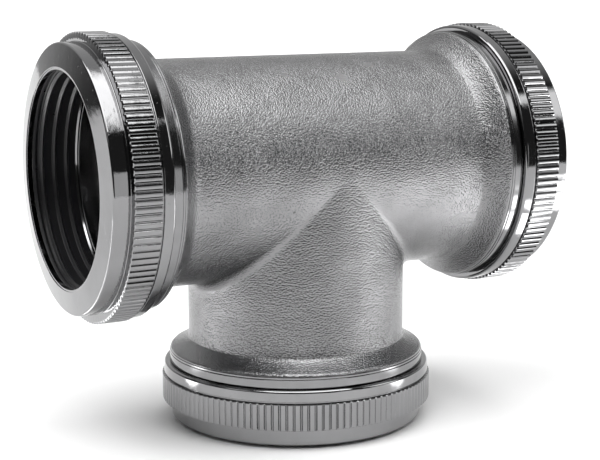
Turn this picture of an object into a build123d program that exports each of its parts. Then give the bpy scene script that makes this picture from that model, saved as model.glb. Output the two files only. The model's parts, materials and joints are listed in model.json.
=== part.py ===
"""Compression tee for exposed 35 mm waste pipe: a cast body, three knurled ring nuts, and in each nut
a ribbed rubber seal behind a thin friction ring.

Frame: origin where the branch axis meets the plane that the tee stands on, +Z up the branch towards
the run, +X along the run. All lengths are in millimetres.
"""
import math
import os

from build123d import *

# ---- pipe and body -------------------------------------------------------------------------------
PIPE_R = 17.5             # 35 mm chrome-plated copper or brass waste pipe
SOCKET_CLEARANCE = 0.15   # between the pipe and the socket that it slides into
SOCKET_R = PIPE_R + SOCKET_CLEARANCE
SOCKET_LENGTH = 12.4
WATERWAY_R = 16.2         # bore between the pipe stops
TUBE_R = 19.0             # cast outside of run and branch
RUN_COLLAR = 32.33        # from the crossing of the axes to the collar's face, on the run
BRANCH_COLLAR = 34.23     # the same on the branch
COLLAR_R = 22.4
RUN_RIM = 2.3             # straight rim of the collar on the run
BRANCH_RIM = 1.9
COLLAR_ROUND = 0.8        # rounding of the rim towards the tube
FLARE_R = 1.2             # hollow fillet where the tube starts to flare
RUN_SLOPE = 2.2           # axial length of the slope between fillet and rounding
BRANCH_SLOPE = 0.9

# ---- spigot that carries the nut -----------------------------------------------------------------
SPIGOT_LENGTH = 5.22      # from the collar's face to the mouth
UNDERCUT_LENGTH = 0.7     # thread run-out beside the collar
UNDERCUT_R = 20.85
SEAT_MOUTH_R = 20.1       # conical seat for the seal
SEAT_END_R = 18.4
SEAT_LENGTH = 4.1

# ---- screw thread, right-hand, 44 mm nominal, 1.5 mm pitch ---------------------------------------
# Both halves are plain cylinders at the thread's mean radius, 0.2 mm apart: the ridges are left out.
MALE_R = 21.4
FEMALE_R = 21.6
LEAD_IN = 0.6             # chamfer at the start of each thread

# ---- ring nut ------------------------------------------------------------------------------------
NUT_LENGTH = 10.3
NUT_GAP = 0.12            # nut's back face to the collar's face, as assembled by hand
OPENING_CLEARANCE = 0.3   # between the pipe and the nut's lip
OPENING_R = PIPE_R + OPENING_CLEARANCE
RIM_CHAMFER = 0.15
RIM_LAND = 0.3            # flat ring around the opening that the tee stands on
FRONT_ROUND = 0.2         # edge between the bevel and the front cylinder
BEVEL_DEPTH = 0.65        # how far the face falls back from the rim to the outside
FRONT_R = 22.15           # plain cylinder in front of the knurl
FRONT_LENGTH = 3.5        # open face to the front of the knurl
KNURL_R = 23.75
KNURL_DEPTH = 0.35
KNURL_CORE_R = 23.3       # solid metal under the teeth
KNURL_TEETH = 124
KNURL_LENGTH = 4.6
GROOVE_R = 23.15          # fine groove between the knurl and the back band
GROOVE_LENGTH = 0.3
BAND_FRONT_R = 23.5
BAND_BACK_R = 23.35
EDGE = 0.2                # small edge chamfers
LIP_THICKNESS = 1.1
CAVITY_R = 20.6           # room for the friction ring and the seal
CAVITY_END = 4.7          # open face to the start of the thread

# ---- friction ring and seal (depths are from the nut's open face) --------------------------------
RING_FRONT = 1.15
RING_THICKNESS = 0.5
RING_INNER_R = 17.95
RING_OUTER_R = 20.3
SEAL_FRONT = 1.7
SEAL_SHOULDER = 4.6       # where the seal narrows to enter the seat
SEAL_BACK = 8.8
SEAL_OUTER_R = 20.2
SEAL_TAIL_R = 19.65
SEAL_TAIL_END_R = 18.2
SEAL_WALL_R = 18.05       # between the ribs
SEAL_ENTRY_R = 18.6
RIB_R = 17.62
RIB_HALF = 0.4
RIB_TIP_HALF = 0.08
RIB_COUNT = 3
RIB_PITCH = 2.2
FIRST_RIB = 2.8

# ---- places --------------------------------------------------------------------------------------
COLLAR_TO_OPEN_FACE = NUT_GAP + NUT_LENGTH
RUN_HEIGHT = BRANCH_COLLAR + COLLAR_TO_OPEN_FACE
CENTRE = Vector(0, 0, RUN_HEIGHT)
UP = (0, 0, 1)
PORTS = {
    "left": (Plane(origin=CENTRE, x_dir=UP, z_dir=(-1, 0, 0)), RUN_COLLAR, RUN_RIM, RUN_SLOPE),
    "right": (Plane(origin=CENTRE, x_dir=UP, z_dir=(1, 0, 0)), RUN_COLLAR, RUN_RIM, RUN_SLOPE),
    "branch": (Plane(origin=CENTRE, x_dir=(-1, 0, 0), z_dir=(0, 0, -1)), BRANCH_COLLAR, BRANCH_RIM,
               BRANCH_SLOPE),
}


def half_section(port):
    """Half-section plane of a port: x is the radius, y is the distance outward along its axis."""
    return Plane(origin=port.origin, x_dir=port.x_dir, z_dir=port.x_dir.cross(port.z_dir))


def cross_section(port, along):
    """Plane square to a port's axis, at a distance outward along it."""
    return Plane(origin=port.origin + port.z_dir * along, x_dir=port.x_dir, z_dir=port.z_dir)


def turned(port, *points):
    """Solid of revolution about a port's axis from (radius, along) corners."""
    with BuildPart() as piece:
        with BuildSketch(half_section(port)):
            with BuildLine():
                Polyline(*points, close=True)
            make_face()
        revolve(axis=Axis(port.origin, port.z_dir))
    return piece.part


def polar(radius, degrees):
    return (radius * math.cos(math.radians(degrees)), radius * math.sin(math.radians(degrees)))


def port_outside(port, collar, rim_length, slope):
    """Tube, flare, collar and spigot of one port, from the crossing of the axes outward."""
    rim = collar - rim_length
    shoulder = rim - slope
    start = shoulder - FLARE_R
    thread = collar + UNDERCUT_LENGTH
    mouth = collar + SPIGOT_LENGTH
    with BuildPart() as outside:
        with BuildSketch(half_section(port)):
            with BuildLine():
                Polyline((COLLAR_R, rim), (COLLAR_R, collar), (UNDERCUT_R, collar), (UNDERCUT_R, thread),
                         (MALE_R, thread), (MALE_R, mouth - LEAD_IN), (MALE_R - LEAD_IN, mouth),
                         (0, mouth), (0, 0), (TUBE_R, 0), (TUBE_R, start))
                RadiusArc((TUBE_R, start), (TUBE_R + FLARE_R, shoulder), FLARE_R)
                Line((TUBE_R + FLARE_R, shoulder), (COLLAR_R - COLLAR_ROUND, rim - COLLAR_ROUND / 2))
                RadiusArc((COLLAR_R - COLLAR_ROUND, rim - COLLAR_ROUND / 2), (COLLAR_R, rim), -COLLAR_ROUND)
            make_face()
        revolve(axis=Axis(port.origin, port.z_dir))
    return outside.part


def make_body():
    """Cast tee: two equal tubes crossing, with spigots, seats, sockets and waterway."""
    with BuildPart() as body:
        for port, collar, *flare in PORTS.values():
            add(port_outside(port, collar, *flare))
        for port, collar, *_ in PORTS.values():
            mouth = collar + SPIGOT_LENGTH
            seat = mouth - SEAT_LENGTH
            stop = seat - SOCKET_LENGTH
            add(turned(port, (0, 0), (WATERWAY_R, 0), (WATERWAY_R, stop), (SOCKET_R, stop),
                       (SOCKET_R, seat), (SEAT_END_R, seat), (SEAT_MOUTH_R, mouth), (0, mouth)),
                mode=Mode.SUBTRACT)
    return body.part


def knurl_band(port, front):
    """Ring of straight teeth whose front end is at the given distance."""
    back = front - KNURL_LENGTH
    step = 360 / KNURL_TEETH
    tips = [polar(KNURL_R, step * i) for i in range(KNURL_TEETH)]
    roots = [polar(KNURL_R - KNURL_DEPTH, step * (i + 0.5)) for i in range(KNURL_TEETH)]
    outline = [point for pair in zip(tips, roots) for point in pair]
    with BuildPart() as band:
        with BuildSketch(cross_section(port, back)):
            with BuildLine():
                Polyline(*outline, close=True)
            make_face()
            Circle(FRONT_R, mode=Mode.SUBTRACT)
        extrude(amount=KNURL_LENGTH)
    return band.part


def make_nut(port, collar):
    """Ring nut: lip, bevelled face, plain front, knurl, groove and back band around its bore."""
    back = collar + NUT_GAP
    face = back + NUT_LENGTH
    knurl_front = face - FRONT_LENGTH
    knurl_back = knurl_front - KNURL_LENGTH
    band = knurl_back - GROOVE_LENGTH
    cavity_end = face - CAVITY_END
    lip = face - LIP_THICKNESS
    with BuildPart() as nut:
        add(turned(port, (OPENING_R, face - RIM_CHAMFER), (OPENING_R + RIM_CHAMFER, face),
                   (OPENING_R + RIM_CHAMFER + RIM_LAND, face), (FRONT_R - FRONT_ROUND, face - BEVEL_DEPTH),
                   (FRONT_R, face - BEVEL_DEPTH - FRONT_ROUND), (FRONT_R, knurl_front),
                   (KNURL_CORE_R, knurl_front), (KNURL_CORE_R, knurl_back), (GROOVE_R, knurl_back),
                   (GROOVE_R, band), (BAND_FRONT_R - EDGE, band), (BAND_FRONT_R, band - EDGE),
                   (BAND_BACK_R, back + EDGE), (BAND_BACK_R - EDGE, back),
                   (FEMALE_R + LEAD_IN, back), (FEMALE_R, back + LEAD_IN),
                   (FEMALE_R, cavity_end), (CAVITY_R, cavity_end), (CAVITY_R, lip),
                   (OPENING_R, lip)))
        add(knurl_band(port, knurl_front))
    return nut.part


def make_friction_ring(port, collar):
    """Thin slippery ring that lets the nut turn without dragging the seal round."""
    front = collar + COLLAR_TO_OPEN_FACE - RING_FRONT
    back = front - RING_THICKNESS
    return turned(port, (RING_INNER_R, back), (RING_OUTER_R, back), (RING_OUTER_R, front),
                  (RING_INNER_R, front))


def make_seal(port, collar):
    """Rubber seal: straight front part, wedge-shaped tail for the seat, and ribs round the pipe."""
    face = collar + COLLAR_TO_OPEN_FACE
    front = face - SEAL_FRONT
    shoulder = face - SEAL_SHOULDER
    back = face - SEAL_BACK
    inside = [(SEAL_WALL_R, back)]
    for i in reversed(range(RIB_COUNT)):
        rib = face - FIRST_RIB - RIB_PITCH * i
        inside += [(SEAL_WALL_R, rib - RIB_HALF), (RIB_R, rib - RIB_TIP_HALF),
                   (RIB_R, rib + RIB_TIP_HALF), (SEAL_WALL_R, rib + RIB_HALF)]
    entry = (SEAL_ENTRY_R, front)
    outside = [(SEAL_OUTER_R, front), (SEAL_OUTER_R, shoulder), (SEAL_TAIL_R, shoulder - EDGE),
               (SEAL_TAIL_END_R, back)]
    return turned(port, *inside, entry, *outside)


def save(piece, name):
    piece.label = name
    export_step(piece, f"parts/{name}.step")


def main():
    os.makedirs("parts", exist_ok=True)
    save(make_body(), "tee_body")
    for side, (port, collar, *_) in PORTS.items():
        save(make_nut(port, collar), f"{side}_nut")
        save(make_friction_ring(port, collar), f"{side}_friction_ring")
        save(make_seal(port, collar), f"{side}_seal")


if __name__ == "__main__":
    main()
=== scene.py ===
import itertools
import json
import math

import bpy
import mathutils
import numpy as np
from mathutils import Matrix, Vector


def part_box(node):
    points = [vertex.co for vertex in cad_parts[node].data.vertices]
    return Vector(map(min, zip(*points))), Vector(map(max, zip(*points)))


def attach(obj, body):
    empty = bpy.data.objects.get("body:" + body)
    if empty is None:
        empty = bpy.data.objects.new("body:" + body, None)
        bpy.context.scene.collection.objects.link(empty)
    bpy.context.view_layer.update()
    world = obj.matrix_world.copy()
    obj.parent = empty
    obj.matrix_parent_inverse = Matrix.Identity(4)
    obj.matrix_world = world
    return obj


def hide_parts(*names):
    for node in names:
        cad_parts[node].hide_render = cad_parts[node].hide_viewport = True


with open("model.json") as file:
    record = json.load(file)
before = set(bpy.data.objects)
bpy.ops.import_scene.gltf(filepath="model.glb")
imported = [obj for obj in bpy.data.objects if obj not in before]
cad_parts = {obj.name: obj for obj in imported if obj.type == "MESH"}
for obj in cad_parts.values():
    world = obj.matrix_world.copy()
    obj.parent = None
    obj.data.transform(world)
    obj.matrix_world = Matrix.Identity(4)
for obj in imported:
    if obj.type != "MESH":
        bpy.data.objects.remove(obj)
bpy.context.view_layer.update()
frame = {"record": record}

bl_info = {
    "name": "Compression Waste Tee",
    "version": (1, 0, 0),
    "blender": (4, 5, 0),
    "location": "View3D > Sidebar > Waste Tee",
    "description": "Cast tee, knurled ring nuts, friction rings and seals, with their finishes and a studio",
    "category": "Object",
}

MM = 0.001
TURN = 2 * math.pi
QUARTER = math.pi / 2
TINY = 1e-6

# Socket of the left port: its height is that of the run's axis.
RUN_Z = next(m["pos_m"][2] for m in frame["record"]["mounts"] if m["name"] == "left_socket") / MM
CENTRE = np.array((0, 0, RUN_Z))          # where the axes of run and branch cross
ALONG_RUN = np.array((1, 0, 0))
UPWARD = np.array((0, 0, 1))


class Port:
    """One end of the tee: its axis, a basis across it, and how far out its nut's open face stands."""

    def __init__(self, name, out, across):
        self.name = name
        self.out = np.array(out, float)
        self.u = np.array(across, float)
        self.v = np.cross(self.out, self.u)
        low, high = (np.array(corner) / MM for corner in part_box(f"{name}_nut"))
        self.back, self.face = sorted((float((low - CENTRE) @ self.out), float((high - CENTRE) @ self.out)))

    def place(self, angle, along, radius):
        """Points at radius from the port's axis, turned by angle from u towards v, along its way out."""
        side = np.cos(angle)[..., None] * self.u + np.sin(angle)[..., None] * self.v
        return CENTRE + along[..., None] * self.out + radius[..., None] * side


PORTS = {
    "left": Port("left", (-1, 0, 0), (0, 0, 1)),
    "right": Port("right", (1, 0, 0), (0, 0, 1)),
    "branch": Port("branch", (0, 0, -1), (-1, 0, 0)),
}


# ---- sizes a user would change --------------------------------------------------------------------

def millimetres(label, words, value):
    """Length in mm. It has no length unit, because Blender would show the number as metres."""
    return bpy.props.FloatProperty(name=label, description=words, default=value, min=0.0)


def shade(label, words, value):
    return bpy.props.FloatVectorProperty(name=label, description=words, default=value, size=3,
                                         min=0.0, max=1.0, subtype="COLOR")


class TeeBodySizes(bpy.types.PropertyGroup):
    tube: millimetres("Tube radius", "Cast outside of run and branch, in mm", 19.0)
    waterway: millimetres("Waterway radius", "Bore between the pipe stops, in mm", 16.2)
    socket: millimetres("Socket radius", "Bore that takes the pipe, in mm", 17.65)
    collar: millimetres("Collar radius", "Machined rim behind each nut, in mm", 22.4)
    collar_gap: millimetres("Collar gap", "Collar's face to the nut's back, in mm", 0.12)
    run_flare: millimetres("Run flare", "Tube to collar face on the run, in mm", 5.7)
    branch_flare: millimetres("Branch flare", "Tube to collar face on the branch, in mm", 4.2)
    crotch: millimetres("Crotch radius", "Cast fillet between run and branch, in mm", 2.2)
    spigot: millimetres("Spigot length", "Collar's face to the body's mouth, in mm", 5.22)
    socket_length: millimetres("Socket length", "Seat to the pipe stop, in mm", 12.4)


class RingNutSizes(bpy.types.PropertyGroup):
    opening: millimetres("Opening radius", "Hole for the pipe, in mm", 17.8)
    front: millimetres("Front radius", "Plain cylinder in front of the knurl, in mm", 22.15)
    front_length: millimetres("Front length", "Open face to the knurl, in mm", 3.5)
    bevel: millimetres("Bevel depth", "How far the face falls back to its edge, in mm", 0.65)
    knurl: millimetres("Knurl radius", "Tips of the teeth, in mm", 23.75)
    knurl_depth: millimetres("Knurl depth", "Tip to root of a tooth, in mm", 0.3)
    knurl_length: millimetres("Knurl length", "Along the axis, in mm", 4.6)
    band: millimetres("Band radius", "Plain band behind the knurl, in mm", 23.45)
    teeth: bpy.props.IntProperty(name="Teeth", description="Teeth round the knurl", default=124, min=12)


class Finishes(bpy.types.PropertyGroup):
    chrome: shade("Chrome", "Reflection colour of the plating", (0.26, 0.26, 0.264))
    cast: shade("Cast chrome", "Reflection colour of the plated casting", (0.245, 0.245, 0.249))
    rubber: shade("Seal rubber", "Colour of the seals", (0.012, 0.012, 0.013))
    nylon: shade("Nylon", "Colour of the friction rings", (0.03, 0.03, 0.032))


class StudioSettings(bpy.types.PropertyGroup):
    floor: shade("Floor", "Colour of the floor", (0.86, 0.86, 0.86))
    backdrop: bpy.props.FloatProperty(name="Backdrop", description="Brightness behind the tee", default=1.0)
    room: bpy.props.FloatProperty(name="Room", description="Brightness of the dark studio", default=0.035)
    overhead: bpy.props.FloatProperty(name="Overhead", description="Strength of the light from above",
                                      default=0.4)


# ---- fixed sizes, in mm ---------------------------------------------------------------------------

# Flare and collar. The cast slope ends a little below the rim, at the collar's turned edge.
TURNED_EDGE = 1.95
SLOPE_ROUNDING = 0.35
SLOPE_DROP = 0.25
SLOPE_POWER = 1.5
RIM_ROUNDING = 0.08

# Turned edge: distance beyond its start, depth below the rim, and rounding. The third and sixth rows
# are the bottoms of two fine turning marks.
TURNED_ROWS = ((-0.2, 0.2, 0.25), (0.0, 0.16, 0.03), (0.08, 0.26, 0.03), (0.16, 0.08, 0.03),
               (0.42, 0.06, 0.03), (0.5, 0.16, 0.03), (0.58, 0.0, 0.05))

# Spigot and seat. Radii are named for what they bound.
UNDERCUT = 20.85
SEAT_LENGTH = 4.1
SEAT_MOUTH = 20.1
SEAT_END = 18.4
MOUTH_LEAD = 0.45           # chamfer outside the mouth, along the axis
MOUTH_DROP = 0.35           # the same chamfer, inward
WATERWAY_LEAD = 1.5         # first stretch of the waterway, behind the pipe stop

# Right-hand screw thread. A ridge's halves are its half widths at the foot and at the crest.
PITCH = 1.5
THREAD_START = 0.7          # beyond the collar's face
THREAD_FADE = 0.3
MALE_ROOT, MALE_CREST = 20.95, 21.85
FEMALE_CREST, FEMALE_ROOT = 21.15, 22.05
MALE_HALVES = (0.525, 0.1)
FEMALE_HALVES = (0.65, 0.22)
MALE_RUN_IN = 0.25
MALE_RUN_OUT = 0.75         # before the mouth
FEMALE_RIDGE = (-2.0, 4.0)  # longer than the nut's bore, so that the ridge fills it

# Ring nut: depths are from its open face.
LIP = 1.1
CAVITY = 20.6
CAVITY_END = 4.7
RIM_CHAMFER = 0.15
RIM_LAND = 0.3
KNURL_CHAMFER = 0.16
KNURL_GUARD = 0.05          # keeps the chamfer's normals off the teeth
KNURL_FOOT = 0.12           # core of the knurl down to the plain metal beside it
GROOVE_LENGTH = 0.3
GROOVE_DEPTH = 0.35
BAND_LEAN = 0.1
BACK_ROUNDING = 0.45
NUT_LEAD_IN = 0.6
NUT_MOUTH = 0.12            # lead-in's radius beyond the thread's root

# One tooth of the knurl: part of the way to the next tooth, and height as part of the depth.
TOOTH = ((0.0, 0.78), (0.16, 0.98), (0.44, 0.98), (0.60, 0.78), (0.76, 0.0), (0.84, 0.0))

# Seal and friction ring: depths are from the nut's open face.
SEAL_FRONT, SEAL_SHOULDER, SEAL_TAIL, SEAL_BACK = 1.7, 4.6, 4.8, 8.8
SEAL_OUTER, SEAL_TAIL_OUTER, SEAL_END_OUTER = 20.2, 19.65, 18.2
SEAL_WALL, SEAL_ENTRY, SEAL_ENTRY_END = 18.05, 18.6, 2.15
RIB_TIP = 17.62
RIB_DEPTHS = (7.2, 5.0, 2.8)
RIB_HALF, RIB_TIP_HALF = 0.42, 0.08
RING_FRONT, RING_BACK = 1.15, 1.65
RING_INNER, RING_OUTER = 17.95, 20.3

# How finely the pieces are divided.
WELD_STEPS = 1000           # places told apart in a millimetre
BODY_COLUMNS = 113          # over half a turn
SOFT_COLUMNS = 192          # seals and rings, over a whole turn
TUBE_ROWS = 15
BORE_ROWS = 10
CROTCH_ROWS = 11
FLARE_ROWS = 14
MALE_THREAD_ROWS = 28
FEMALE_THREAD_ROWS = 26

# Grain attribute of the body. Its top level marks the bore: bare brass, painted paler as painted light where
# little light enters.
TURNED, CROTCH_GRAIN, CAST, BARE_AND_PAINTED_LIGHT = 0.0, 0.8, 1.0, 2.0


# ---- outlines -------------------------------------------------------------------------------------

def rounded_outline(corners, steps=4, guard=0.03):
    """(x, radius) points through corners given as (x, radius, rounding).

    Each rounded corner becomes an arc tangent to both sides, sampled at equal turns, with one guard
    point just outside each end of the arc, so that the flats beside it keep their own normals.
    """
    points = []
    for i, (x, r, rounding) in enumerate(corners):
        here = np.array((x, r))
        if rounding <= 0:
            points.append(here[None])
            continue
        before = np.array(corners[i - 1][:2]) - here
        after = np.array(corners[(i + 1) % len(corners)][:2]) - here
        before /= np.linalg.norm(before)
        after /= np.linalg.norm(after)
        half = 0.5 * math.acos(float(np.clip(before @ after, -1, 1)))
        cut = rounding / math.tan(half)
        bisector = before + after
        bisector /= np.linalg.norm(bisector)
        middle = here + bisector * rounding / math.sin(half)
        start, end = here + before * cut, here + after * cut
        k = np.linspace(0, 1, steps + 1)[:, None]
        sweep = math.pi - 2 * half
        a, b = start - middle, end - middle
        arc = middle + (a * np.sin((1 - k) * sweep) + b * np.sin(k * sweep)) / math.sin(sweep)
        points += [(start + before * guard)[None], arc, (end + after * guard)[None]]
    return np.concatenate(points)


def evenly(start, end, count):
    """count + 1 points evenly from start to end, as (x, radius) rows."""
    return np.linspace(np.array(start, float), np.array(end, float), count + 1)


def thread_radius(angle, along, low, high, halves, start, end):
    """Radius of a helical ridge: low, rising linearly to high as the axial distance to the ridge's
    centre line falls from the first to the second of halves, and fading out beyond start and end."""
    phase = (along / PITCH - angle / TURN + 0.5) % 1.0 - 0.5
    rise = np.clip((halves[0] - np.abs(phase) * PITCH) / (halves[0] - halves[1]), 0, 1)
    fade_in = np.clip((along - start) / THREAD_FADE + 1, 0, 1)
    fade_out = np.clip((end - along) / THREAD_FADE + 1, 0, 1)
    return low + (high - low) * rise * (fade_in * fade_out)


# ---- meshes ---------------------------------------------------------------------------------------

def weld(sheets):
    """Joins grids of points, each (rows, columns, 3), into one list of points and quads, and says
    which of the grids' points were kept.

    Points closer than a thousandth of a millimetre become one, and a quad that loses a corner this
    way becomes a triangle.
    """
    points, quads, offset = [], [], 0
    for sheet in sheets:
        rows, columns = sheet.shape[:2]
        index = np.arange(rows * columns).reshape(rows, columns) + offset
        corners = [index[:-1, :-1], index[:-1, 1:], index[1:, 1:], index[1:, :-1]]
        quads.append(np.stack(corners, -1).reshape(-1, 4))
        points.append(sheet.reshape(-1, 3))
        offset += rows * columns
    points, quads = np.concatenate(points), np.concatenate(quads)
    _, kept, inverse = np.unique(np.round(points * WELD_STEPS).astype(np.int64), axis=0,
                                 return_index=True, return_inverse=True)
    return points[kept], inverse.reshape(-1)[quads], kept


def linked(name, data):
    piece = bpy.data.objects.new(name, data)
    bpy.context.scene.collection.objects.link(piece)
    return piece


def mesh_from(name, points, quads, attributes=None, sharp=32.0):
    """Object whose mesh holds the points, in mm, and quads; faces are turned to point outward."""
    doubled = quads == np.roll(quads, -1, axis=1)
    keep = doubled.sum(1) <= 1
    quads, doubled = quads[keep], doubled[keep]
    a, b, c, d = (points[quads[:, k]] for k in range(4))
    volume = np.einsum("ij,ij->i", a, np.cross(b, c)).sum() + np.einsum("ij,ij->i", a, np.cross(c, d)).sum()
    if volume < 0:
        quads, doubled = quads[:, ::-1], doubled[:, ::-1]
        doubled = np.roll(doubled, -1, axis=1)
    corners = quads[~doubled]
    sizes = 4 - doubled.sum(1)
    starts = np.concatenate([[0], np.cumsum(sizes)[:-1]])
    mesh = bpy.data.meshes.new(name)
    mesh.vertices.add(len(points))
    mesh.vertices.foreach_set("co", (points * MM).astype(np.float32).ravel())
    mesh.loops.add(len(corners))
    mesh.loops.foreach_set("vertex_index", corners.astype(np.int32))
    mesh.polygons.add(len(sizes))
    mesh.polygons.foreach_set("loop_start", starts.astype(np.int32))
    for label, values in (attributes or {}).items():
        layer = mesh.attributes.new(label, "FLOAT", "POINT")
        layer.data.foreach_set("value", values.astype(np.float32))
    mesh.update(calc_edges=True)
    mesh.validate()
    mesh.shade_smooth()
    mesh.set_sharp_from_angle(angle=math.radians(sharp))
    return linked(name, mesh)


def revolved(port, outline, columns):
    """Grid of a closed outline of (depth from the open face, radius) rows turned round a port's axis."""
    outline = np.concatenate([outline, outline[:1]])
    angle, depth = np.meshgrid(np.linspace(0, TURN, columns + 1), outline[:, 0])
    radius = np.broadcast_to(outline[:, 1][:, None], depth.shape)
    return port.place(angle, port.face - depth, radius)


# ---- tee body -------------------------------------------------------------------------------------

def port_profile(collar, mouth, sizes, flare):
    """(along, radius) rows of one end, from the tube round the mouth to the waterway, and the grain of
    each row: cast on the slope, and none on the turned edge and beyond it.

    The slope's radius rises from the tube to just below the rim by a power of the way along it.
    """
    seat = mouth - SEAT_LENGTH
    stop = seat - sizes.socket_length
    tube, rim = sizes.tube, sizes.collar
    edge = collar - TURNED_EDGE
    length = flare - TURNED_EDGE - SLOPE_ROUNDING

    def on_slope(part):
        """Point part way from the tube (0) to the turned edge (1)."""
        return np.array((collar - flare + length * part, tube + (rim - SLOPE_DROP - tube) * part ** SLOPE_POWER))

    slope = np.array([on_slope(part) for part in np.linspace(0, 0.92, FLARE_ROWS)])
    turned = [(edge + beyond, rim - drop, rounding) for beyond, drop, rounding in TURNED_ROWS]
    shoulder = rounded_outline([(*on_slope(0.96), 0), *turned, (collar, rim, RIM_ROUNDING),
                                (collar, UNDERCUT, 0)], 2)[:-1]
    spigot = evenly((collar, UNDERCUT), (collar + THREAD_START, UNDERCUT), 2)
    thread = evenly((collar + THREAD_START, MALE_ROOT), (mouth - MOUTH_LEAD, MALE_ROOT), MALE_THREAD_ROWS)
    inside = rounded_outline([
        (mouth - MOUTH_LEAD, MALE_ROOT, 0), (mouth, MALE_ROOT - MOUTH_DROP, 0.1), (mouth, SEAT_MOUTH, 0.12),
        (seat, SEAT_END, 0), (seat, sizes.socket, 0.1), (stop, sizes.socket, 0),
        (stop, sizes.waterway, 0.3), (stop - WATERWAY_LEAD, sizes.waterway, 0)])
    rows = np.concatenate([slope, shoulder, spigot, thread, inside])
    edge_start = len(slope) + 4
    return rows, np.where(np.arange(len(rows)) < edge_start, CAST, TURNED)


class End:
    """One end of the body: its port, where its collar's face and its mouth are, and its profile."""

    def __init__(self, port, sizes, flare):
        self.port = port
        self.collar = port.back - sizes.collar_gap
        self.mouth = self.collar + sizes.spigot
        self.rows, grain = port_profile(self.collar, self.mouth, sizes, flare)
        self.grain = grain[:, None]

    def sheet(self, directions):
        """The profile's rows at each direction across the axis, less the crossing's centre. Rows at
        the thread's root follow the thread."""
        angle = np.arctan2(directions @ self.port.v, directions @ self.port.u)
        along = np.repeat(self.rows[:, :1], len(angle), axis=1)
        radius = np.repeat(self.rows[:, 1:], len(angle), axis=1)
        angle = np.broadcast_to(angle, along.shape)
        helix = thread_radius(angle, along - self.collar - THREAD_START, MALE_ROOT, MALE_CREST, MALE_HALVES,
                              MALE_RUN_IN, self.mouth - self.collar - THREAD_START - MALE_RUN_OUT)
        radius = np.where(np.abs(radius - MALE_ROOT) < TINY, helix, radius)
        side = np.cos(angle)[..., None] * self.port.u + np.sin(angle)[..., None] * self.port.v
        return along[..., None] * self.port.out + radius[..., None] * side


def crossing(sizes, side, angle):
    """Lower sheet's middle part: up the branch, round the crotch, out along the run.

    angle runs from -90 to 90 degrees round the run's underside and equally round the branch's half
    that faces side. The crotch is the path of a ball of the crotch's radius rolling between two equal
    tubes: its centre keeps tube + crotch from both axes, and the skin turns about that centre from
    the branch's normal to the run's.
    """
    tube, ball = sizes.tube, sizes.crotch
    c, s = np.cos(angle), np.sin(angle)
    centre = np.stack([side * (tube + ball) * c, (tube + ball) * s, -(tube + ball) * c], -1)
    first = np.stack([-side * c, -s, np.zeros_like(c)], -1)
    last = np.stack([np.zeros_like(c), -s, c], -1)
    sweep = np.arccos(np.clip((first * last).sum(-1), -1, 1))[None, :, None]
    k = np.linspace(0, 1, CROTCH_ROWS)[:, None, None]
    safe = np.maximum(np.sin(sweep), TINY)
    turned = (first[None] * np.sin((1 - k) * sweep) + last[None] * np.sin(k * sweep)) / safe
    flat = first[None] * (1 - k) + last[None] * k
    flat = flat / np.maximum(np.linalg.norm(flat, axis=-1, keepdims=True), 1e-9)
    return centre[None] + ball * np.where(sweep < 1e-4, flat, turned)


def run_parts(sizes, side, run, angle):
    """Grids of half the run: directions from its axis, tube, end and bore, from the crossing outward
    and back in. angle is 0 below the axis and grows towards +Y.

    Under the run, where the branch opens, the bore starts at its radius times the angle's cosine, and
    the tube at its radius and the crotch's times the same. Over it, both start in the middle.
    """
    down = np.stack([np.zeros_like(angle), np.sin(angle), -np.cos(angle)], -1)
    opening = np.maximum(np.cos(angle), 0)
    tube_start = (sizes.tube + sizes.crotch) * opening
    outer = tube_start + (run.rows[0, 0] - tube_start) * np.linspace(0, 1, TUBE_ROWS)[1:-1][:, None]
    tube = side * outer[..., None] * ALONG_RUN + sizes.tube * down[None]
    bore_start, deep = sizes.waterway * opening, run.rows[-1, 0]
    inner = deep + (bore_start - deep) * np.linspace(0, 1, BORE_ROWS)[1:][:, None]
    bore = side * inner[..., None] * ALONG_RUN + sizes.waterway * down[None]
    return down, tube, run.sheet(down), bore


def stacked(*parts):
    """One grid, and its grain, from (grid, grain) parts; a grain is one number or one for each row."""
    grains = [np.broadcast_to(grain, grid.shape[:2]) for grid, grain in parts]
    return np.concatenate([grid for grid, _ in parts]), np.concatenate(grains)


def upper_sheet(sizes, side, run):
    """Sheet over the back of half the run, from a seam in the middle, round the end and back inside."""
    angle = np.linspace(QUARTER, 3 * QUARTER, BODY_COLUMNS)
    down, tube, run_end, bore = run_parts(sizes, side, run, angle)
    return stacked((sizes.tube * down[None], CAST), (tube, CAST), (run_end, run.grain), (bore, BARE_AND_PAINTED_LIGHT))


def lower_sheet(sizes, side, run, branch):
    """Sheet from the branch's bore round its mouth, up the branch, over the crotch, out along the run
    and back inside. On the branch, tube and bore end at their start on the run, measured downward."""
    angle = np.linspace(-QUARTER, QUARTER, BODY_COLUMNS)
    _, tube, run_end, bore = run_parts(sizes, side, run, angle)
    around = np.stack([side * np.cos(angle), np.sin(angle), np.zeros_like(angle)], -1)
    top, start = (sizes.tube + sizes.crotch) * np.cos(angle), branch.rows[0, 0]
    up = start + (top - start) * np.linspace(0, 1, TUBE_ROWS)[1:-1][:, None]
    branch_tube = sizes.tube * around[None] - up[..., None] * UPWARD
    inner_top, deep = sizes.waterway * np.cos(angle), branch.rows[-1, 0]
    rise = inner_top + (deep - inner_top) * np.linspace(0, 1, BORE_ROWS)[:-1][:, None]
    branch_bore = sizes.waterway * around[None] - rise[..., None] * UPWARD
    return stacked((branch_bore, BARE_AND_PAINTED_LIGHT), (branch.sheet(around)[::-1], branch.grain[::-1]), (branch_tube, CAST),
                   (crossing(sizes, side, angle), CROTCH_GRAIN), (tube, CAST), (run_end, run.grain),
                   (bore, BARE_AND_PAINTED_LIGHT))


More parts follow.
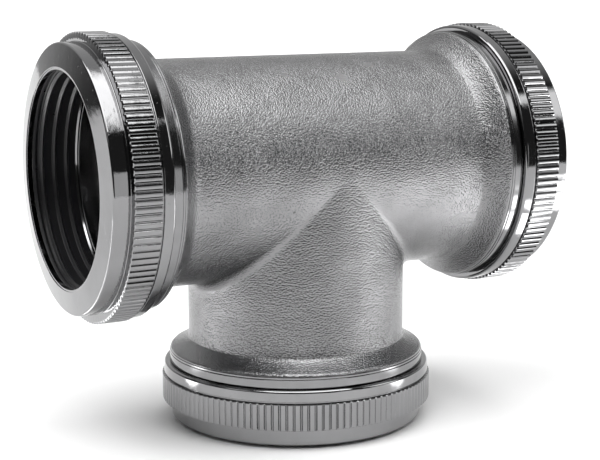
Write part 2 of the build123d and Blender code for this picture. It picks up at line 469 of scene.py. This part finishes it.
def build_body(sizes):
    """Body welded from a lower and an upper sheet on each side, with its grain as an attribute."""
    branch = End(PORTS["branch"], sizes, sizes.branch_flare)
    sheets = []
    for side, name in ((-1, "left"), (1, "right")):
        run = End(PORTS[name], sizes, sizes.run_flare)
        sheets += [lower_sheet(sizes, side, run, branch), upper_sheet(sizes, side, run)]
    points, quads, kept = weld([grid + CENTRE for grid, _ in sheets])
    grain = np.concatenate([grain.ravel() for _, grain in sheets])[kept]
    return mesh_from("cast_body", points, quads, {"grain": grain}, sharp=35.0)


# ---- ring nut -------------------------------------------------------------------------------------

def nut_outline(length, sizes):
    """(depth, radius) rows: bevelled face, front, core of the knurl, groove, band, thread, cavity."""
    core = sizes.knurl - sizes.knurl_depth
    start = sizes.front_length
    end = start + sizes.knurl_length
    groove = sizes.band - GROOVE_DEPTH
    front = rounded_outline([
        (0.0, sizes.opening + RIM_CHAMFER, 0.05), (0.0, sizes.opening + RIM_CHAMFER + RIM_LAND, 0.08),
        (sizes.bevel, sizes.front, 0.3), (start, sizes.front, 0.12), (start, core - KNURL_FOOT, 0)])
    shoulder, foot = KNURL_CHAMFER + KNURL_GUARD, (0.06, 0.04)
    knurl = np.array([
        (start + foot[0], core - foot[1]), (start + KNURL_CHAMFER, core), (start + shoulder, core),
        (end - shoulder, core), (end - KNURL_CHAMFER, core), (end - foot[0], core - foot[1])])
    back = rounded_outline([
        (end, core - KNURL_FOOT, 0), (end + 0.02, groove, 0.05), (end + GROOVE_LENGTH - 0.02, groove, 0.05),
        (end + GROOVE_LENGTH, sizes.band, 0.1), (length, sizes.band - BAND_LEAN, BACK_ROUNDING),
        (length, FEMALE_ROOT + NUT_MOUTH, 0.05), (length - NUT_LEAD_IN, FEMALE_CREST, 0)])
    thread = evenly((length - NUT_LEAD_IN, FEMALE_CREST), (CAVITY_END, FEMALE_CREST), FEMALE_THREAD_ROWS)[1:]
    inside = rounded_outline([
        (CAVITY_END, CAVITY, 0.1), (LIP, CAVITY, 0.1), (LIP, sizes.opening, 0.12),
        (RIM_CHAMFER, sizes.opening, 0.0)])
    outline = np.concatenate([front, knurl, back, thread, inside])
    return np.concatenate([outline, outline[:1]])


def build_nut(port, sizes, collar_gap):
    """Ring nut: a rounded outline turned round the port's axis. Over the knurl the radius rises from
    its core by the knurl's depth times the tooth's outline, fading out at both ends; in the bore it
    follows the thread."""
    core = sizes.knurl - sizes.knurl_depth
    outline = nut_outline(port.face - port.back, sizes)
    tooth = np.array(TOOTH)
    angle = ((np.arange(sizes.teeth)[:, None] + tooth[None, :, 0]) / sizes.teeth).ravel() * TURN
    height = np.tile(tooth[:, 1], sizes.teeth)
    angle, height = np.append(angle, TURN), np.append(height, height[0])
    angle, depth = np.meshgrid(angle, outline[:, 0])
    radius = np.repeat(outline[:, 1:], angle.shape[1], axis=1)
    fade_in = np.clip((depth - sizes.front_length) / KNURL_CHAMFER, 0, 1)
    fade_out = np.clip((sizes.front_length + sizes.knurl_length - depth) / KNURL_CHAMFER, 0, 1)
    in_knurl = (radius > core - KNURL_FOOT - 0.01) & (radius < core + 0.01)
    teeth = sizes.knurl_depth * height[None] * (fade_in * fade_out)
    radius = np.where(in_knurl, radius + teeth, radius)
    along = port.face - depth
    collar = port.back - collar_gap
    helix = thread_radius(angle, along - collar - THREAD_START, FEMALE_CREST, FEMALE_ROOT, FEMALE_HALVES,
                          *FEMALE_RIDGE)
    radius = np.where(np.abs(radius - FEMALE_CREST) < TINY, helix, radius)
    points, quads, _ = weld([port.place(angle, along, radius)])
    return mesh_from(f"{port.name}_ring_nut", points, quads, sharp=28.0)


# ---- seal and friction ring -----------------------------------------------------------------------

def build_seal(port):
    """Ribbed rubber seal: outline of a straight front, a tapered tail and three round-topped ribs."""
    ribs = []
    for depth in RIB_DEPTHS:
        ribs += [(depth + RIB_HALF, SEAL_WALL, 0.12), (depth + RIB_TIP_HALF, RIB_TIP, 0.07),
                 (depth - RIB_TIP_HALF, RIB_TIP, 0.07), (depth - RIB_HALF, SEAL_WALL, 0.12)]
    corners = [(SEAL_FRONT, SEAL_OUTER, 0.2), (SEAL_SHOULDER, SEAL_OUTER, 0.2),
               (SEAL_TAIL, SEAL_TAIL_OUTER, 0.1), (SEAL_BACK, SEAL_END_OUTER, 0.06),
               (SEAL_BACK, SEAL_WALL, 0.04), *ribs, (SEAL_ENTRY_END, SEAL_WALL, 0.1),
               (SEAL_FRONT, SEAL_ENTRY, 0.15)]
    points, quads, _ = weld([revolved(port, rounded_outline(corners, guard=0.01), SOFT_COLUMNS)])
    return mesh_from(f"{port.name}_rubber_seal", points, quads, sharp=40.0)


def build_friction_ring(port):
    """Thin ring with rounded edges between the nut's lip and the seal."""
    corners = [(RING_FRONT, RING_INNER, 0.1), (RING_FRONT, RING_OUTER, 0.1), (RING_BACK, RING_OUTER, 0.1),
               (RING_BACK, RING_INNER, 0.1)]
    points, quads, _ = weld([revolved(port, rounded_outline(corners, guard=0.02), SOFT_COLUMNS)])
    return mesh_from(f"{port.name}_slip_ring", points, quads, sharp=30.0)


# ---- shader helpers -------------------------------------------------------------------------------

class Val:
    """A socket that takes part in arithmetic: each operator adds one Math node."""

    def __init__(self, shader, socket):
        self.shader, self.socket = shader, socket

    def math(self, operation, *others):
        node = self.shader.node("ShaderNodeMath", {"operation": operation})
        for socket, value in zip(node.inputs, (self, *others)):
            self.shader.plug(value, socket)
        return self.shader.val(node)

    def __add__(self, other):
        return self.math("ADD", other)

    def __mul__(self, other):
        return self.math("MULTIPLY", other)

    def __sub__(self, other):
        return self.math("SUBTRACT", other)

    def __rsub__(self, other):
        return (self * -1.0) + other

    __radd__, __rmul__ = __add__, __mul__

    def between(self, low, high):
        """0 below low, 1 above high, smooth between."""
        return self.shader.val(self.shader.node("ShaderNodeMapRange", {"interpolation_type": "SMOOTHSTEP"},
                                                Value=self, From_Min=low, From_Max=high), "Result")


class Shader:
    """A node tree with one method for every kind of node."""

    def __init__(self, tree):
        self.tree = tree
        tree.nodes.clear()

    def plug(self, value, socket):
        """Links a Val or a socket to an input, or sets the input's number, colour or vector."""
        if isinstance(value, Val):
            value = value.socket
        if isinstance(value, bpy.types.NodeSocket):
            self.tree.links.new(value, socket)
        else:
            socket.default_value = value

    def node(self, kind, settings=None, **inputs):
        made = self.tree.nodes.new(kind)
        for key, value in (settings or {}).items():
            setattr(made, key, value)
        for key, value in inputs.items():
            self.plug(value, made.inputs[key.replace("_", " ")])
        return made

    def val(self, node, output=0):
        return Val(self, node.outputs[output])

    def place(self):
        return self.node("ShaderNodeTexCoord").outputs["Object"]

    def noise(self, scale, detail, roughness):
        return self.val(self.node("ShaderNodeTexNoise", Vector=self.place(), Scale=scale, Detail=detail,
                                  Roughness=roughness), "Fac")

    def bump(self, height, distance, strength, normal=None):
        """Normal bumped by height times distance, in metres, on top of a normal if one is given."""
        below = {} if normal is None else {"Normal": normal}
        return self.node("ShaderNodeBump", Height=height, Distance=distance, Strength=strength,
                         **below).outputs["Normal"]

    def mixed(self, low, high, factor):
        """Colour between low and high, each a colour or a socket, by a factor."""
        node = self.node("ShaderNodeMix", {"data_type": "RGBA"})
        ends = [socket for socket in node.inputs if socket.type == "RGBA"]
        for socket, value in zip(ends, (low, high)):
            self.plug(value, socket)
        self.plug(factor, node.inputs[0])
        return next(socket for socket in node.outputs if socket.type == "RGBA")

    def surface(self, colour, metallic, roughness, normal, **more):
        shader = self.node("ShaderNodeBsdfPrincipled", Base_Color=colour, Metallic=metallic,
                           Roughness=roughness, Normal=normal, **more)
        self.node("ShaderNodeOutputMaterial", Surface=shader.outputs[0])


def solid(rgb, level=1.0):
    return (*(min(1.0, c * level) for c in rgb), 1.0)


def new_material(name):
    material = bpy.data.materials.new(name)
    material.use_nodes = True
    return material, Shader(material.node_tree)


# ---- finishes: a bump's distance is the height of its relief --------------------------------------

# Bare brass of the bore. Its pale level is partly painted light, to brighten the bore where little light enters.
BARE_BRASS_AND_PAINTED_LIGHT = (0.60, 0.585, 0.56)
DUST = (0.09, 0.09, 0.09)


def cast_chrome(colour):
    """Chrome over a rough casting: fine lumps and slow waves where the grain attribute is 1, turned
    and nearly smooth where it is 0, and bare brass where it is 2, painted paler as painted light that
    lifts the dim bore, with duller patches all over."""
    material, s = new_material("cast_chrome_plate")
    grain = s.val(s.node("ShaderNodeAttribute", {"attribute_name": "grain"}), "Fac")
    beads = s.val(s.node("ShaderNodeTexVoronoi", {"feature": "SMOOTH_F1"}, Vector=s.place(), Scale=3500.0,
                         Smoothness=0.35), "Distance")
    lumps = s.noise(5000.0, 1.0, 0.5)
    waves = s.noise(420.0, 2.0, 0.4)
    turning = s.noise(9000.0, 1.0, 0.5)
    patches = s.noise(160.0, 2.0, 0.5)
    normal = s.bump(waves * grain, 0.02 * MM, 1.0)
    normal = s.bump((lumps * 0.55 - beads * 0.6) * grain, 0.14 * MM, 1.0, normal)
    normal = s.bump(turning * (1.0 - grain), 0.004 * MM, 0.5, normal)
    # Bore: bare brass, rougher, and painted paler as painted light in the dim bore.
    bare_brass_and_painted_light = grain.between(CAST, BARE_AND_PAINTED_LIGHT)
    rough = 0.10 + grain * 0.13 + patches.between(0.45, 0.75) * 0.05 + bare_brass_and_painted_light * 0.1
    plate = s.mixed(solid(colour, 0.9), solid(colour, 1.08), patches.between(0.3, 0.7))
    s.surface(s.mixed(plate, solid(BARE_BRASS_AND_PAINTED_LIGHT), bare_brass_and_painted_light), 1.0, rough, normal)
    return material


def polished_chrome(colour):
    """Chrome over turned brass: mirror with faint ripples, hair scratches and a few dull specks."""
    material, s = new_material("polished_chrome_plate")
    ripple = s.noise(420.0, 2.0, 0.4)
    scuff = s.noise(5200.0, 3.0, 0.6)
    specks = s.noise(1900.0, 1.0, 0.5).between(0.70, 0.78)
    cloud = s.noise(120.0, 3.0, 0.55)
    normal = s.bump(ripple, 0.04 * MM, 0.5)
    normal = s.bump(scuff + specks * 0.8, 0.005 * MM, 0.6, normal)
    rough = 0.045 + cloud.between(0.4, 0.8) * 0.05 + specks * 0.2
    plate = s.mixed(solid(colour, 1.04), solid(colour, 0.93), cloud.between(0.35, 0.7) + specks * 0.4)
    s.surface(plate, 1.0, rough, normal)
    return material


def seal_rubber(colour):
    """Black rubber: soft sheen, mould grain and pale dust."""
    material, s = new_material("moulded_rubber")
    dust = s.noise(2600.0, 2.0, 0.6).between(0.68, 0.76)
    haze = s.noise(300.0, 3.0, 0.5)
    normal = s.bump(s.noise(6000.0, 2.0, 0.5) + dust, 0.02 * MM, 0.5)
    rough = 0.24 + haze * 0.12 + dust * 0.3
    s.surface(s.mixed(solid(colour), solid(DUST), dust * 0.6), 0.0, rough, normal, Specular_IOR_Level=0.45)
    return material


def slip_nylon(colour):
    """Dark nylon with a fine moulded grain."""
    material, s = new_material("moulded_nylon")
    cloud = s.noise(500.0, 2.0, 0.5)
    normal = s.bump(s.noise(4000.0, 2.0, 0.5), 0.01 * MM, 0.5)
    s.surface(s.mixed(solid(colour, 0.8), solid(colour, 1.3), cloud), 0.0, 0.32 + cloud * 0.15, normal)
    return material


# ---- operators ------------------------------------------------------------------------------------

class TEE_OT_body(bpy.types.Operator):
    """Build the cast body"""
    bl_idname = "waste_tee.body"
    bl_label = "Cast Body"

    def execute(self, context):
        piece = build_body(context.scene.tee_body)
        piece.data.materials.append(cast_chrome(context.scene.tee_finishes.cast))
        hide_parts("tee_body")
        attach(piece, "tee")
        return {"FINISHED"}


class TEE_OT_nuts(bpy.types.Operator):
    """Build the three ring nuts"""
    bl_idname = "waste_tee.nuts"
    bl_label = "Ring Nuts"

    def execute(self, context):
        chrome = polished_chrome(context.scene.tee_finishes.chrome)
        for name, port in PORTS.items():
            piece = build_nut(port, context.scene.tee_nut, context.scene.tee_body.collar_gap)
            piece.data.materials.append(chrome)
            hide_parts(f"{name}_nut")
            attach(piece, f"{name}_ring_nut")
        return {"FINISHED"}


class TEE_OT_seals(bpy.types.Operator):
    """Build the three seals"""
    bl_idname = "waste_tee.seals"
    bl_label = "Seals"

    def execute(self, context):
        rubber = seal_rubber(context.scene.tee_finishes.rubber)
        for name, port in PORTS.items():
            piece = build_seal(port)
            piece.data.materials.append(rubber)
            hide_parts(f"{name}_seal")
            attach(piece, f"{name}_packing")
        return {"FINISHED"}


class TEE_OT_friction_rings(bpy.types.Operator):
    """Build the three friction rings"""
    bl_idname = "waste_tee.friction_rings"
    bl_label = "Friction Rings"

    def execute(self, context):
        nylon = slip_nylon(context.scene.tee_finishes.nylon)
        for name, port in PORTS.items():
            piece = build_friction_ring(port)
            piece.data.materials.append(nylon)
            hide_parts(f"{name}_friction_ring")
            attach(piece, f"{name}_packing")
        return {"FINISHED"}


# ---- studio: azimuths are in degrees from -Y towards +X, and lengths in metres --------------------

# Soft boxes: azimuth and elevation of the middle; half width, half height and edge softness at unit
# distance; brightness.
SOFT_BOXES = (
    (0, 76, 0.42, 0.62, 0.02, 3.5),
    (-90, 60, 0.60, 0.20, 0.04, 4.2),
    (-80, 28, 0.22, 0.16, 0.05, 1.2),
    (59, 30, 0.28, 0.30, 0.06, 2.2),
    (17, 0, 0.16, 0.19, 0.01, 0.95),
)
BACK_GLOW = ((152, 30), 0.35, 0.85, 0.60)     # middle, cosines where it starts and is full, brightness
BEHIND = 0.001                                # keeps a division from passing through zero

OVERHEAD_ANGLE = 110
OVERHEAD_HEIGHT = 1.2

# Narrow pools of light on the floor, widening outward: azimuth and power.
POOLS = ((-113, 22.0), (54, 25.0))
POOL_DISTANCES = (0.07, 0.10, 0.14, 0.19)
POOL_SPREAD = 0.18                            # half width over distance
POOL_HEIGHT = 0.3
POOL_BLEND = 0.5

FLOOR_HALF = 20.0
FLOOR_FRONT = -0.32

CAMERA_AZIMUTH = -27.95
CAMERA_ELEVATION = 10.05
CAMERA_ROLL = 0.126
CAMERA_DISTANCE = 256.8 * MM
CAMERA_TARGET = np.array((0.93, 0.0, RUN_Z - 11.82)) * MM
SENSOR_WIDTH = 36.0
LENS = 87.34


def towards(azimuth, elevation):
    """Unit vector towards an azimuth and an elevation."""
    a, e = math.radians(azimuth), math.radians(elevation)
    return (math.sin(a) * math.cos(e), -math.cos(a) * math.cos(e), math.sin(e))


def studio_world(settings):
    """Studio as seen in reflections: a dark room with soft boxes and a broad glow in it. Seen directly
    it is plain and pale. A box is where the view's slopes across and up from its middle are both less
    than its half width and half height."""
    world = bpy.data.worlds.new("studio")
    world.use_nodes = True
    s = Shader(world.node_tree)
    direction = s.node("ShaderNodeTexCoord").outputs["Generated"]

    def along(vector):
        dot = s.node("ShaderNodeVectorMath", {"operation": "DOT_PRODUCT"})
        s.plug(direction, dot.inputs[0])
        s.plug(vector, dot.inputs[1])
        return s.val(dot, "Value")

    middle, start, full, glow = BACK_GLOW
    light = along(towards(*middle)).between(start, full) * glow + settings.room
    for azimuth, elevation, wide, tall, soft, bright in SOFT_BOXES:
        depth = along(towards(azimuth, elevation)).math("MAXIMUM", BEHIND)
        across = along(towards(azimuth + 90, 0)).math("ABSOLUTE").math("DIVIDE", depth)
        upright = along(towards(azimuth, elevation + 90)).math("ABSOLUTE").math("DIVIDE", depth)
        inside = (1.0 - across.between(wide - soft, wide)) * (1.0 - upright.between(tall - soft, tall))
        light = light + inside * bright
    seen = s.val(s.node("ShaderNodeLightPath"), "Is Camera Ray")
    strength = light * (1.0 - seen) + seen * settings.backdrop
    background = s.node("ShaderNodeBackground", Color=(1, 1, 1, 1), Strength=strength)
    s.node("ShaderNodeOutputWorld", Surface=background.outputs[0])
    bpy.context.scene.world = world


def floor_material(colour):
    """Matt pale floor with very faint clouding."""
    material, s = new_material("studio_floor")
    cloud = s.noise(3.0, 2.0, 0.5)
    normal = s.bump(cloud, 0.1 * MM, 0.1)
    s.surface(s.mixed(solid(colour, 0.995), solid(colour, 1.005), cloud), 0.0, 0.9, normal,
              Specular_IOR_Level=0.0)
    return material


def lay_floor(colour):
    mesh = bpy.data.meshes.new("floor")
    mesh.from_pydata([(-FLOOR_HALF, FLOOR_FRONT, 0), (FLOOR_HALF, FLOOR_FRONT, 0),
                      (FLOOR_HALF, FLOOR_HALF, 0), (-FLOOR_HALF, FLOOR_HALF, 0)], [], [(0, 1, 2, 3)])
    mesh.materials.append(floor_material(colour))
    linked("floor", mesh)


def hang_lights(strength):
    """Broad light from above, and the pools on the floor; neither shows in reflections."""
    overhead = bpy.data.lights.new("overhead", "SUN")
    overhead.angle = math.radians(OVERHEAD_ANGLE)
    overhead.energy = strength
    lamp = linked("overhead", overhead)
    lamp.location = (0, 0, OVERHEAD_HEIGHT)
    lamp.visible_glossy = False
    for (azimuth, power), distance in itertools.product(POOLS, POOL_DISTANCES):
        pool = bpy.data.lights.new("pool", "SPOT")
        pool.energy = power
        pool.spot_size = 2 * math.atan(POOL_SPREAD * distance / POOL_HEIGHT)
        pool.spot_blend = POOL_BLEND
        lamp = linked("pool", pool)
        lamp.location = np.array(towards(azimuth, 0)) * distance + np.array((0, 0, POOL_HEIGHT))
        lamp.visible_glossy = False


def place_camera():
    """Camera at its distance from the target, looking at it, and turned about its view by the roll."""
    back = mathutils.Vector(towards(CAMERA_AZIMUTH, CAMERA_ELEVATION))
    camera = linked("camera", bpy.data.cameras.new("camera"))
    camera.location = CAMERA_TARGET + np.array(towards(CAMERA_AZIMUTH, CAMERA_ELEVATION)) * CAMERA_DISTANCE
    camera.rotation_mode = "QUATERNION"
    roll = mathutils.Quaternion((0, 0, 1), -math.radians(CAMERA_ROLL))
    camera.rotation_quaternion = (-back).to_track_quat("-Z", "Y") @ roll
    camera.data.sensor_width = SENSOR_WIDTH
    camera.data.lens = LENS
    camera.data.clip_start = 0.01
    bpy.context.scene.camera = camera


class TEE_OT_stage(bpy.types.Operator):
    """Set the floor, lights and camera"""
    bl_idname = "waste_tee.stage"
    bl_label = "Stage"

    def execute(self, context):
        settings = context.scene.tee_studio
        studio_world(settings)
        lay_floor(settings.floor)
        hang_lights(settings.overhead)
        place_camera()
        context.scene.view_settings.view_transform = "Standard"
        return {"FINISHED"}


class TEE_PT_panel(bpy.types.Panel):
    """Lists the tee's pieces"""
    bl_idname = "TEE_PT_panel"
    bl_label = "Waste Tee"
    bl_space_type = "VIEW_3D"
    bl_region_type = "UI"
    bl_category = "Waste Tee"

    def draw(self, context):
        for step in STEPS:
            self.layout.operator(step.bl_idname)


STEPS = (TEE_OT_body, TEE_OT_nuts, TEE_OT_seals, TEE_OT_friction_rings, TEE_OT_stage)
GROUPS = {"tee_body": TeeBodySizes, "tee_nut": RingNutSizes, "tee_finishes": Finishes,
          "tee_studio": StudioSettings}
CLASSES = (*GROUPS.values(), *STEPS, TEE_PT_panel)


def register():
    for cls in CLASSES:
        bpy.utils.register_class(cls)
    for name, group in GROUPS.items():
        setattr(bpy.types.Scene, name, bpy.props.PointerProperty(type=group))


def unregister():
    for name in GROUPS:
        delattr(bpy.types.Scene, name)
    for cls in reversed(CLASSES):
        bpy.utils.unregister_class(cls)


def main():
    register()
    bpy.ops.waste_tee.body()
    bpy.ops.waste_tee.nuts()
    bpy.ops.waste_tee.seals()
    bpy.ops.waste_tee.friction_rings()
    bpy.ops.waste_tee.stage()


if __name__ == "__main__":
    main()
